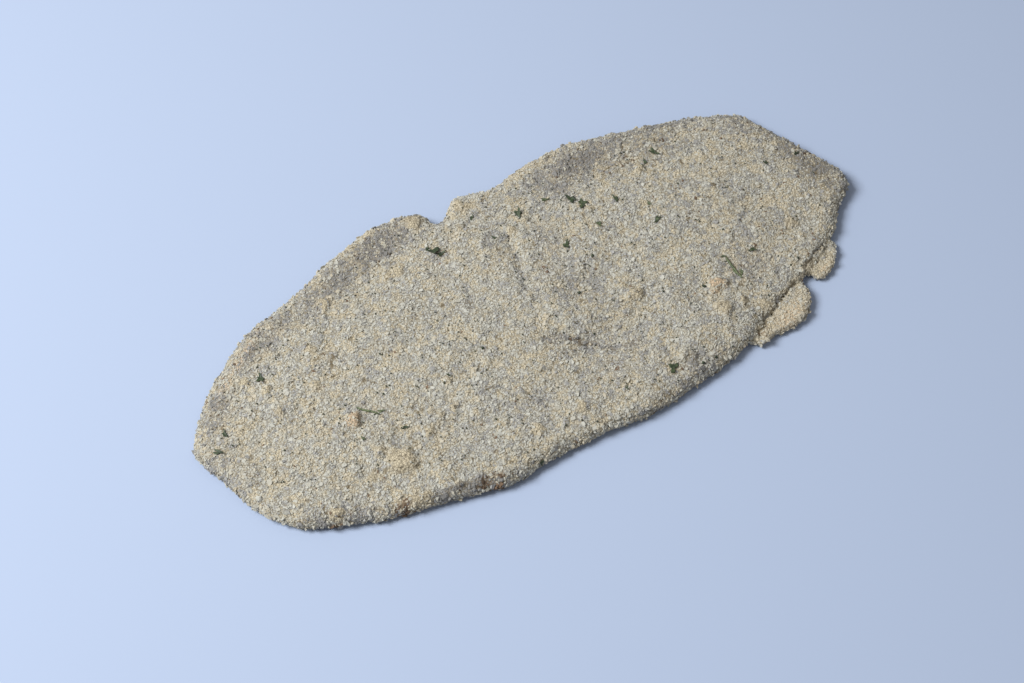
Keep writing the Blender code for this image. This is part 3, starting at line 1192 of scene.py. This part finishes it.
@dataclass
class Grains:
    """All loose grains of the coating, sown over the crust and sorted by kind."""

    coating: Coating
    clearings: tuple[Flake, ...]
    sowings: tuple[Sowing, ...] = (
        Sowing(Zone.TOP, 0.87 * MM, 0.42 * MM, 0.35, CHIP, 0.0 * MM, 0.54, 0.29),
        Sowing(Zone.TOP, 2.2 * MM, 0.60 * MM, 0.18, SLAB, 0.04 * MM, 0.42, 0.2),
        Sowing(Zone.RIM, 1.7 * MM, 0.60 * MM, 0.38, SLAB, 0.15 * MM, 0.6, 0.5),
        Sowing(Zone.UNDERSIDE, 1.5 * MM, 0.66 * MM, 0.22, CHIP, 0.05 * MM, 0.6, 0.3),
    )
    ruffle: tuple[tuple[float, float], ...] = ((1.5 * MM, 0.20 * MM), (0.9 * MM, 0.08 * MM))
    most_growth: float = 1.5
    oddness: float = 0.24
    crack_depth: float = 0.35 * MM
    flour_grain: float = 4.0 * MM
    flour_share: float = 0.3
    clump_share: float = 0.88
    warm: tuple[float, ...] = (-1.6, 0.4, 2.6, -2.0, 0.5)
    cool: tuple[float, ...] = (0.4, -0.8, -2.5, 1.8, -0.3)
    shares: tuple[float, ...] = (0.47, 0.39, 0.035, 0.06, 0.003)
    # Damp and shaded places, partly painted shade, turn grains towards the grey and toasted kinds;
    # chalky ones, partly painted light, turn them towards the pale.
    gains: tuple[tuple[Mood, tuple[float, ...]], ...] = (
        (Mood.DAMP_AND_SHADE, (-0.6, -1.0, -2.0, 2.2, 0.4)),
        (Mood.GOLDEN, (-1.4, -0.4, 2.6, -2.0, 0.3)),
        (Mood.PEACH, (-1.2, 0.2, 2.6, -2.0, -1.0)),
        (Mood.TOASTED, (-2.0, -1.5, 0.3, 1.0, 4.6)),
        (Mood.CHALKY_AND_PAINTED_LIGHT, (0.9, 0.1, -1.0, -0.8, -0.8)),
        (Mood.SHADED, (-2.5, -1.5, 0.0, 1.5, 3.5)),
    )
    lots: Heaps = Heaps(1.3 * MM, 0.0)
    likeness: float = 0.5
    jitter: float = 0.35
    bumps: float = 0.18
    stretches: tuple[float, float] = (0.6, 1.45)
    lift_scatter: float = 0.15
    clearance: float = 0.02 * MM
    tone: float = 0.3
    tone_swell: float = 0.25
    tone_grain: float = 2.4 * MM
    tone_scatter: float = 0.4
    # Painted shade: how much darker grains are made in damp and shaded places.
    damp_and_shade_dimming: float = 0.4
    shade_dimming: float = 0.6
    cell: tuple[tuple[float, float], ...] = ((0.12, 0.12), (0.88, 0.12), (0.5, 0.88))
    seed: int = 11

    def build(self, crust: bpy.types.Object) -> list[bpy.types.Object]:
        """Sow the grains.

        Args:
            crust: the piece that they lie on.

        Returns:
            One piece for each kind of grain.
        """
        rng = np.random.default_rng(self.seed)
        surface = Surface.of(crust.data)
        facing = surface.normals.mean(axis=1)[:, 2]
        batches: dict[Grain, list[tuple[Points, Points, Points]]] = {kind: [] for kind in Grain}
        for sowing in self.sowings:
            low, high = sowing.zone.value
            chosen = (facing >= low) & (facing < high)
            spots, normals = surface.spots(sowing.gap, chosen, rng)
            kept = self._kept(spots, rng)
            spots, normals = spots[kept], normals[kept]
            weights = self.coating.weights(spots)
            kinds = self._kinds(weights, self.coating.warmth(spots), self._draws(spots, rng))
            places = self._shapes(sowing, spots, normals, rng)
            tones = self._tones(spots, weights, rng)
            faces = np.array(sowing.shape[1])
            for number, kind in enumerate(Grain):
                mine = kinds == number
                batches[kind].append((places[mine], faces, tones[mine]))
        return [self._piece(kind, batch) for kind, batch in batches.items()]

    def _kept(self, spots: Points, rng: np.random.Generator) -> Points:
        """Return which spots get a grain: few on floury patches and clumps, none under a flake.

        Args:
            spots: places in metres.
            rng: the source of chance.

        Returns:
            True or False for each spot.
        """
        footprint = self.coating.footprint
        covered = np.any([flake.covers(spots, footprint) for flake in self.clearings], axis=0)
        flour = noise_at(spots, self.flour_grain, FLOUR_FIELD) * 2.0
        floury = np.clip(flour, 0.0, 1.0) * self.flour_share
        clumped = self.coating.clumped(spots) * self.clump_share
        return ~covered & (rng.random(len(spots)) > np.maximum(floury, clumped))

    def _draws(self, spots: Points, rng: np.random.Generator) -> Points:
        """Return each grain's draw from 0 to 1: its own, or one shared with its neighbours."""
        shared = self.lots.draws(spots)
        return np.where(rng.random(len(spots)) < self.likeness, shared, rng.random(len(spots)))

    def _tones(
        self, spots: Points, weights: dict[Mood, Points], rng: np.random.Generator
    ) -> Points:
        """Return how light each grain is.

        Args:
            spots: places in metres.
            weights: each mood's strength at each grain.
            rng: the source of chance.

        Returns:
            One number from 0 to 1 for each grain.
        """
        swell = noise_at(spots, self.tone_grain, TONE_FIELD)
        tones = self.tone + self.tone_swell * swell + self.tone_scatter * rng.random(len(spots))
        # Painted shade: grains are darker in damp and shaded places.
        tones = tones - self.damp_and_shade_dimming * weights[Mood.DAMP_AND_SHADE]
        return np.clip(tones - self.shade_dimming * weights[Mood.SHADED], 0.0, 1.0)

    def _kinds(self, weights: dict[Mood, Points], warmth: Points, draws: Points) -> Points:
        """Return the number of each grain's kind, by chance, by its patch and by its heap.

        Args:
            weights: each mood's strength at each grain.
            warmth: the tint of the heaps that each grain belongs to.
            draws: each grain's draw from 0 to 1.

        Returns:
            One number for each grain.
        """
        scores = np.tile(np.log(self.shares), (len(warmth), 1))
        for mood, gains in self.gains:
            scores += weights[mood][:, None] * np.array(gains)
        scores += np.clip(warmth, 0.0, 1.0)[:, None] * np.array(self.warm)
        scores += np.clip(-warmth, 0.0, 1.0)[:, None] * np.array(self.cool)
        chances = np.exp(scores)
        steps = np.cumsum(chances, axis=1) / chances.sum(axis=1, keepdims=True)
        return (draws[:, None] > steps).sum(axis=1)

    def _shapes(
        self, sowing: Sowing, spots: Points, normals: Points, rng: np.random.Generator
    ) -> Points:
        """Return the corner places of every grain of one sowing.

        Args:
            sowing: the pass that they belong to.
            spots: where they lie.
            normals: which way is up there.
            rng: the source of chance.

        Returns:
            An array of grains by corners by three.
        """
        count = len(spots)
        corners = np.array(sowing.shape[0], float)
        shapes = corners * (1 + rng.uniform(-self.jitter, self.jitter, (count, len(corners), 3)))
        shapes += rng.uniform(-self.bumps, self.bumps, shapes.shape)
        sizes = np.exp(rng.normal(0.0, sowing.spread, (count, 1)))
        sizes = sowing.size * np.minimum(sizes, self.most_growth)
        stretch = np.exp(rng.normal(0.0, self.oddness, (count, 3)))
        stretch = np.clip(stretch, *self.stretches) * (1.0, 1.0, sowing.flatness)
        shapes *= (sizes * stretch)[:, None, :]
        leaning = normals + rng.normal(0.0, sowing.tilt, (count, 3))
        leaning /= np.linalg.norm(leaning, axis=1, keepdims=True)
        aside = np.cross(leaning, rng.normal(0.0, 1.0, (count, 3)))
        aside /= np.linalg.norm(aside, axis=1, keepdims=True)
        turns = np.stack([aside, np.cross(leaning, aside), leaning], axis=1)
        scatter = rng.uniform(-self.lift_scatter, self.lift_scatter, (count, 1))
        lifts = sowing.lift + scatter * sizes
        for seed, (grain, height) in enumerate(self.ruffle):
            lifts += noise_at(spots, grain, RUFFLE_FIELD + seed)[:, None] * height
        lifts -= self.coating.cracks(spots)[:, None] * self.crack_depth
        placed = np.einsum("nki,nij->nkj", shapes, turns) + (spots + normals * lifts)[:, None, :]
        placed[..., 2] = np.maximum(placed[..., 2], self.clearance)
        return placed

    def _piece(self, kind: Grain, batches: list[tuple[Points, Points, Points]]) -> bpy.types.Object:
        """Join all grains of one kind into one piece, with one bake cell for each grain.

        Args:
            kind: the kind of grain.
            batches: the corners, triangles and tones of each sowing's grains.

        Returns:
            The piece.
        """
        places, faces, tones, owners = [], [], [], []
        start, grain = 0, 0
        for corners, shape, tone in batches:
            count, size = corners.shape[:2]
            places.append(corners.reshape(-1, 3))
            starts = start + np.arange(count) * size
            faces.append((shape[None] + starts[:, None, None]).reshape(-1, 3))
            tones.append(np.repeat(tone, size))
            owners.append(np.repeat(grain + np.arange(count), len(shape)))
            start += count * size
            grain += count
        mesh = mesh_of(kind.value.name, np.concatenate(places), np.concatenate(faces))
        store(mesh, GRAIN_TONE, np.concatenate(tones))
        owner = np.concatenate(owners)
        row = math.ceil(math.sqrt(grain))
        cell = np.stack([owner % row, owner // row], axis=1)[:, None, :]
        give_map(mesh, (cell + np.array(self.cell)) / row)
        mesh.shade_flat()
        return show(mesh, kind.value.material())


# ---- parsley


@dataclass(frozen=True)
class Stem:
    """One bit of stem: its middle as shares of the half box, its sizes in millimetres."""

    x: float
    y: float
    length: float
    turn: float
    radius: float


@dataclass(frozen=True)
class Speck:
    """One dark speck: its place as shares of the half box, its size in millimetres."""

    x: float
    y: float
    size: float


FLAKES = (
    (-0.17, 0.63, 6.4, -35.0, 0.62, 0.4, 0.15), (-0.155, 0.59, 3.2, 60.0, 0.6, 0.4, 0.2),
    (0.255, 0.57, 4.6, -60.0, 0.6, 0.4, 0.15), (0.275, 0.50, 4.4, 15.0, 0.75, 0.3, 0.3),
    (0.10, 0.63, 4.0, -50.0, 0.7, 0.35, 0.2), (0.165, 0.27, 4.0, 20.0, 0.6, 0.4, 0.3),
    (0.28, 0.31, 2.8, 80.0, 0.6, 0.4, 0.5), (0.365, 0.43, 3.8, 35.0, 0.45, 0.5, 0.25),
    (0.43, 0.16, 3.8, 10.0, 0.5, 0.4, 0.35), (0.55, 0.65, 4.4, 0.0, 0.5, 0.5, 0.25),
    (0.51, 0.61, 2.6, 40.0, 0.5, 0.4, 0.3), (0.22, -0.81, 5.8, -40.0, 0.5, 0.3, 0.3),
    (-0.76, 0.30, 3.6, 30.0, 0.8, 0.4, 0.3), (-0.91, 0.05, 3.4, 60.0, 0.5, 0.5, 0.2),
    (-0.945, -0.04, 4.2, 85.0, 0.5, 0.4, 0.15), (-0.49, -0.42, 2.8, 50.0, 0.45, 0.5, 0.2),
    (-0.60, -0.37, 2.2, 0.0, 0.5, 0.5, 0.3), (0.61, -0.31, 3.2, -10.0, 0.45, 0.5, 0.35),
    (0.81, 0.22, 2.4, 20.0, 0.6, 0.4, 0.1), (0.91, 0.20, 2.8, 40.0, 0.5, 0.4, 0.1),
    (-0.22, -0.965, 2.4, 50.0, 0.6, 0.4, 0.1), (0.08, -0.80, 1.8, -60.0, 0.6, 0.3, 0.15),
    (-0.32, -0.23, 2.6, 10.0, 0.5, 0.5, 0.4), (0.19, 0.65, 3.2, 45.0, 0.45, 0.4, 0.55),
    (0.00, 0.54, 2.2, 45.0, 0.45, 0.4, 0.5), (0.44, 0.30, 2.2, -40.0, 0.5, 0.4, 0.5),
    (-0.02, 0.75, 3.0, -70.0, 0.35, 0.5, 0.2), (0.545, -0.42, 2.8, -70.0, 0.5, 0.3, 0.8),
    (0.528, -0.27, 2.0, 20.0, 0.4, 0.3, 0.6), (-0.525, -0.255, 2.8, -30.0, 0.4, 0.3, 0.8),
)
SPECKS = (
    (0.21, 0.12, 1.3), (0.12, -0.07, 1.5), (0.43, -0.40, 1.6), (-0.20, -0.15, 1.3),
    (0.32, -0.32, 1.2), (0.71, -0.49, 1.4), (0.30, -0.86, 1.5), (0.34, -0.86, 1.3),
    (-0.60, -0.12, 0.9), (0.09, -0.37, 1.1), (0.70, 0.10, 0.9), (0.53, 0.02, 0.9),
    (-0.27, -0.62, 1.0), (0.05, -0.40, 1.0), (-0.45, 0.10, 0.9), (-0.70, 0.50, 0.9),
)


@dataclass
class Parsley:
    """The parsley flakes, stems and specks that lie in the coating."""

    footprint: Footprint
    flakes: tuple[Flake, ...] = tuple(Flake(*row) for row in FLAKES)
    stems: tuple[Stem, ...] = (
        Stem(-0.555, -0.22, 8.8, -50.0, 0.36),
        Stem(0.532, -0.36, 9.2, -93.0, 0.36),
        Stem(0.532, -0.42, 5.0, -82.0, 0.30),
    )
    specks: tuple[Speck, ...] = tuple(Speck(*row) for row in SPECKS)
    strewn: int = 640
    strewn_sizes: tuple[float, float] = (0.4, 0.8)
    strewn_reach: float = 0.93
    hidden_flakes: int = 22
    hidden_sizes: tuple[float, float] = (1.8, 5.0)
    hidden_reach: float = 0.8
    hidden_form: tuple[float, float, float] = (0.6, 0.1, 0.3)
    rings: int = 4
    spokes: int = 24
    leaf_reach: float = 0.85
    lobes: tuple[tuple[int, float], ...] = ((3, 0.30), (5, 0.20), (7, 0.12))
    ripple_grain: float = 1.0 * MM
    ripple: float = 0.28 * MM
    thickness: float = 0.14 * MM
    float_height: float = 0.45 * MM
    clearance: float = 0.03 * MM
    stem_rows: int = 14
    stem_sides: int = 7
    stem_bow: float = 0.35 * MM
    stem_turns: float = 5.0
    stem_lift: float = 0.55 * MM
    stem_wave: float = 0.15 * MM
    stem_girth: float = 1.15
    stem_taper: float = 1.8
    stem_knots: float = 0.12
    stem_tone: float = 0.75
    speck_jitter: float = 0.3
    speck_shape: tuple[float, float, float] = (1.2, 0.9, 0.6)
    speck_tone: float = 0.05
    seed: int = 5

    def build(self, crust: bpy.types.Object) -> list[bpy.types.Object]:
        """Lay the parsley on the crust.

        Args:
            crust: the piece that it lies on.

        Returns:
            The flakes, the stems and the specks.
        """
        rng = np.random.default_rng(self.seed)
        tree = BVHTree.FromPolygons(
            [vert.co for vert in crust.data.vertices],
            [poly.vertices[:] for poly in crust.data.polygons],
        )
        leaves = [self._leaf(*laid, tree, rng) for laid in self._all_flakes(rng)]
        stalks = [self._stalk(stem, tree, rng) for stem in self.stems]
        specks = [self._speck(speck, tree, rng) for speck in self._all_specks(rng)]
        named = {"parsley_flakes": leaves, "parsley_stems": stalks, "herb_specks": specks}
        return [self._join(name, parts) for name, parts in named.items()]

    def _strewn(self, reach: float, rng: np.random.Generator) -> tuple[float, float]:
        """Return a place drawn evenly from a round part of the footprint."""
        angle, far = rng.uniform(0.0, 2.0 * math.pi), math.sqrt(rng.random()) * reach
        return math.cos(angle) * far, math.sin(angle) * far

    def _all_flakes(self, rng: np.random.Generator) -> list[tuple[Flake, bool]]:
        """Return the flakes of the top, and some like them for the underside.

        Args:
            rng: the source of chance.

        Returns:
            Each flake, and whether it lies below.
        """
        made = [(flake, False) for flake in self.flakes]
        for _ in range(self.hidden_flakes):
            x, y = self._strewn(self.hidden_reach, rng)
            size, turn = rng.uniform(*self.hidden_sizes), rng.uniform(0.0, 180.0)
            made.append((Flake(x, y, size, turn, *self.hidden_form), True))
        return made

    def _all_specks(self, rng: np.random.Generator) -> list[Speck]:
        """Return the placed specks, and small strewn ones.

        Args:
            rng: the source of chance.

        Returns:
            The specks.
        """
        made = list(self.specks)
        for _ in range(self.strewn):
            x, y = self._strewn(self.strewn_reach, rng)
            made.append(Speck(x, y, rng.uniform(*self.strewn_sizes)))
        return made

    def _ground(self, tree: BVHTree, x: float, y: float, below: bool) -> tuple[Vector, Vector]:
        """Find the crust at shares of the half box.

        Args:
            tree: the crust.
            x: the share along it.
            y: the share across it.
            below: whether to look at its underside.

        Returns:
            The place and the normal there.
        """
        centre = self.footprint.place(x, y)
        side = -1.0 if below else 1.0
        hit, normal, _, _ = tree.ray_cast(Vector((*centre, side * CAST_HEIGHT)), DOWN * side)
        if hit is None:
            hit, normal, _, _ = tree.find_nearest(Vector((*centre, 0.0)))
        return hit, normal

    def _leaf(
        self, flake: Flake, below: bool, tree: BVHTree, rng: np.random.Generator
    ) -> tuple[Points, Points, float]:
        """Make one crumpled flake: a lobed sheet with a fold along its rib.

        Args:
            flake: its place and sizes.
            below: whether it lies on the underside.
            tree: the crust.
            rng: the source of chance.

        Returns:
            Its vertices, its triangles and its tone.
        """
        hit, normal = self._ground(tree, flake.x, flake.y, below)
        half = flake.length * MM / 2
        angles = np.linspace(0.0, 2.0 * math.pi, self.spokes, endpoint=False)
        phases = rng.uniform(0.0, 2.0 * math.pi, len(self.lobes))
        edge = np.full(self.spokes, self.leaf_reach)
        for (count, depth), phase in zip(self.lobes, phases):
            edge += depth * np.cos(count * angles + phase)
        sheet = [(0.0, 0.0)]
        for ring in range(1, self.rings + 1):
            reach = edge * ring / self.rings
            sheet += list(zip(np.cos(angles) * reach, np.sin(angles) * reach * flake.slimness))
        flat = np.array(sheet) * half
        bend = flake.curl * 0.5 * flat[:, 0] ** 2 / half
        fold = 0.5 * flake.curl * np.abs(flat[:, 1])
        spots = np.column_stack([flat, np.full(len(flat), hit.x)])
        ripple = noise_at(spots, self.ripple_grain, flake.x) * self.ripple
        height = 0.0 if below else self.float_height
        up = np.column_stack([flat, bend + fold + ripple + height])
        turn = Matrix.Rotation(math.radians(flake.turn), 3, "Z")
        basis = np.array(normal.to_track_quat("Z", "Y").to_matrix() @ turn)
        both = np.concatenate([up, up - (0.0, 0.0, self.thickness)])
        places = both @ basis.T + np.array(hit)
        places[:, 2] = np.maximum(places[:, 2], self.clearance)
        return places, self._leaf_faces(), flake.tone

    def _leaf_faces(self) -> Points:
        """Join a flake's vertices: two discs of rings, and the wall between them.

        Returns:
            Its triangles.
        """
        faces = []
        for spoke in range(self.spokes):
            after = (spoke + 1) % self.spokes
            faces.append((0, 1 + spoke, 1 + after))
            for ring in range(self.rings - 1):
                inner, outer = 1 + ring * self.spokes, 1 + (ring + 1) * self.spokes
                faces.append((inner + spoke, outer + spoke, outer + after))
                faces.append((inner + spoke, outer + after, inner + after))
        disc = np.array(faces)
        count = 1 + self.rings * self.spokes
        rim = np.arange(count - self.spokes, count)
        after = np.roll(rim, -1)
        outer_half = np.column_stack([rim, rim + count, after])
        inner_half = np.column_stack([after, rim + count, after + count])
        return np.concatenate([disc, disc[:, ::-1] + count, outer_half, inner_half])

    def _stalk(
        self, stem: Stem, tree: BVHTree, rng: np.random.Generator
    ) -> tuple[Points, Points, float]:
        """Make one bent stem that follows the crust.

        Args:
            stem: its place and sizes.
            tree: the crust.
            rng: the source of chance.

        Returns:
            Its vertices, its triangles and its tone.
        """
        rows, sides = self.stem_rows, self.stem_sides
        middle = Vector((*self.footprint.place(stem.x, stem.y), 0.0))
        turn = math.radians(stem.turn)
        heading = Vector((math.cos(turn), math.sin(turn), 0.0))
        aside = Vector((-heading.y, heading.x, 0.0))
        places = []
        for row in range(rows):
            share = row / (rows - 1) - 0.5
            bow = self.stem_bow * math.sin(share * self.stem_turns)
            spot = middle + heading * share * stem.length * MM + aside * bow
            hit, _, _, _ = tree.ray_cast(Vector((spot.x, spot.y, CAST_HEIGHT)), DOWN)
            centre = hit + Vector((0.0, 0.0, self.stem_lift + self.stem_wave * rng.random()))
            girth = self.stem_girth - self.stem_taper * share**2 + self.stem_knots * rng.random()
            wide = stem.radius * MM * girth
            for side in range(sides):
                angle = 2.0 * math.pi * side / sides
                rise = Vector((0.0, 0.0, math.sin(angle) * wide))
                places.append(tuple(centre + aside * math.cos(angle) * wide + rise))
        faces = []
        for row in range(rows - 1):
            for side in range(sides):
                here, beside = row * sides + side, row * sides + (side + 1) % sides
                faces += [(here, beside, here + sides), (beside, beside + sides, here + sides)]
        last = (rows - 1) * sides
        faces += [(0, side + 1, side) for side in range(1, sides - 1)]
        faces += [(last, last + side, last + side + 1) for side in range(1, sides - 1)]
        return np.array(places), np.array(faces), self.stem_tone

    def _speck(
        self, speck: Speck, tree: BVHTree, rng: np.random.Generator
    ) -> tuple[Points, Points, float]:
        """Make one dark speck.

        Args:
            speck: its place and size.
            tree: the crust.
            rng: the source of chance.

        Returns:
            Its vertices, its triangles and its tone.
        """
        hit, normal = self._ground(tree, speck.x, speck.y, False)
        corners = np.array(CHIP[0], float)
        corners *= 1 + rng.uniform(-self.speck_jitter, self.speck_jitter, corners.shape)
        corners *= speck.size * MM / 2 * np.array(self.speck_shape)
        basis = np.array(normal.to_track_quat("Z", "Y").to_matrix())
        spin = np.array(Matrix.Rotation(rng.uniform(0.0, math.pi), 3, "Z"))
        places = corners @ (basis @ spin).T + np.array(hit + normal * self.float_height)
        return places, np.array(CHIP[1]), self.speck_tone

    def _join(self, name: str, parts: list[tuple[Points, Points, float]]) -> bpy.types.Object:
        """Join parts into one piece.

        Args:
            name: the piece's name.
            parts: the vertices, triangles and tone of each part.

        Returns:
            The piece.
        """
        starts = np.cumsum([0] + [len(part[0]) for part in parts])
        places = np.concatenate([part[0] for part in parts])
        faces = np.concatenate([part[1] + start for part, start in zip(parts, starts)])
        mesh = mesh_of(name, places, faces)
        store(mesh, GRAIN_TONE, np.concatenate([np.full(len(part[0]), part[2]) for part in parts]))
        return show(mesh, LeafFinish(name).material())


# ---- the studio


@dataclass(frozen=True)
class Studio:
    """A pale table, a soft lamp from behind on the left, and the camera."""

    footprint: Footprint
    azimuth: float = 28.5
    elevation: float = 58.0
    distance: float = 0.6506
    lens: float = 60.0
    sensor: float = 36.0
    aim: tuple[float, float] = (-0.1014, -0.1185)
    lamp_energy: float = 18.3
    lamp_colour: Colour = (0.96, 0.975, 1.0)
    lamp_size: float = 0.6
    lamp_spread: float = 150.0
    lamp_place: tuple[float, float, float] = (-0.84, 0.34, 1.03)
    sky: Colour = (0.80, 0.80, 0.82)
    sky_strength: float = 0.45
    table_reach: float = 3.0
    table_gap: float = 0.1 * MM

    def build(self) -> None:
        """Make the table, the lights and the camera."""
        self._table()
        self._lamp()
        self._sky()
        self._camera()

    def _table(self) -> None:
        """Make the table."""
        bm = bmesh.new()
        bmesh.ops.create_grid(bm, x_segments=2, y_segments=2, size=self.table_reach)
        mesh = bpy.data.meshes.new("table")
        bm.to_mesh(mesh)
        bm.free()
        mesh.materials.append(TableFinish().material())
        table = bpy.data.objects.new("table", mesh)
        table.location = (0.0, 0.0, self.footprint.low.z - self.table_gap)
        bpy.context.scene.collection.objects.link(table)

    def _lamp(self) -> None:
        """Make the soft lamp."""
        light = bpy.data.lights.new("window", "AREA")
        light.energy = self.lamp_energy
        light.color = self.lamp_colour
        light.size = self.lamp_size
        light.spread = math.radians(self.lamp_spread)
        lamp = bpy.data.objects.new("window", light)
        lamp.location = self.lamp_place
        lamp.rotation_euler = (-Vector(self.lamp_place)).to_track_quat("-Z", "Y").to_euler()
        bpy.context.scene.collection.objects.link(lamp)

    def _sky(self) -> None:
        """Make the even light of the room."""
        world = bpy.data.worlds.new("room")
        world.use_nodes = True
        background = world.node_tree.nodes["Background"]
        background.inputs["Color"].default_value = (*self.sky, 1.0)
        background.inputs["Strength"].default_value = self.sky_strength
        bpy.context.scene.world = world

    def _camera(self) -> None:
        """Make the camera, which looks down from the near left."""
        data = bpy.data.cameras.new("camera")
        data.lens = self.lens
        data.sensor_width = self.sensor
        camera = bpy.data.objects.new("camera", data)
        turn, rise = math.radians(self.azimuth), math.radians(self.elevation)
        level = math.cos(rise)
        ahead = Vector((math.sin(turn) * level, math.cos(turn) * level, -math.sin(rise)))
        target = Vector((*self.footprint.place(*self.aim), 0.0))
        camera.location = target - ahead * self.distance
        camera.rotation_euler = ahead.to_track_quat("-Z", "Y").to_euler()
        bpy.context.scene.collection.objects.link(camera)
        bpy.context.scene.camera = camera
        bpy.context.scene.view_settings.view_transform = "Standard"


# ---- the whole


def main() -> None:
    """Dress the schnitzel and set up the studio."""
    logging.basicConfig(level=logging.INFO, format="%(name)s: %(message)s")
    noise.seed_set(NOISE_SEED)
    footprint = Footprint(*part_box(NODE))
    coating = Coating(footprint)
    crust = Crust(coating).build()
    parsley = Parsley(footprint)
    Grains(coating, parsley.flakes).build(crust)
    parsley.build(crust)
    Studio(footprint).build()


if __name__ == "__main__":
    main()
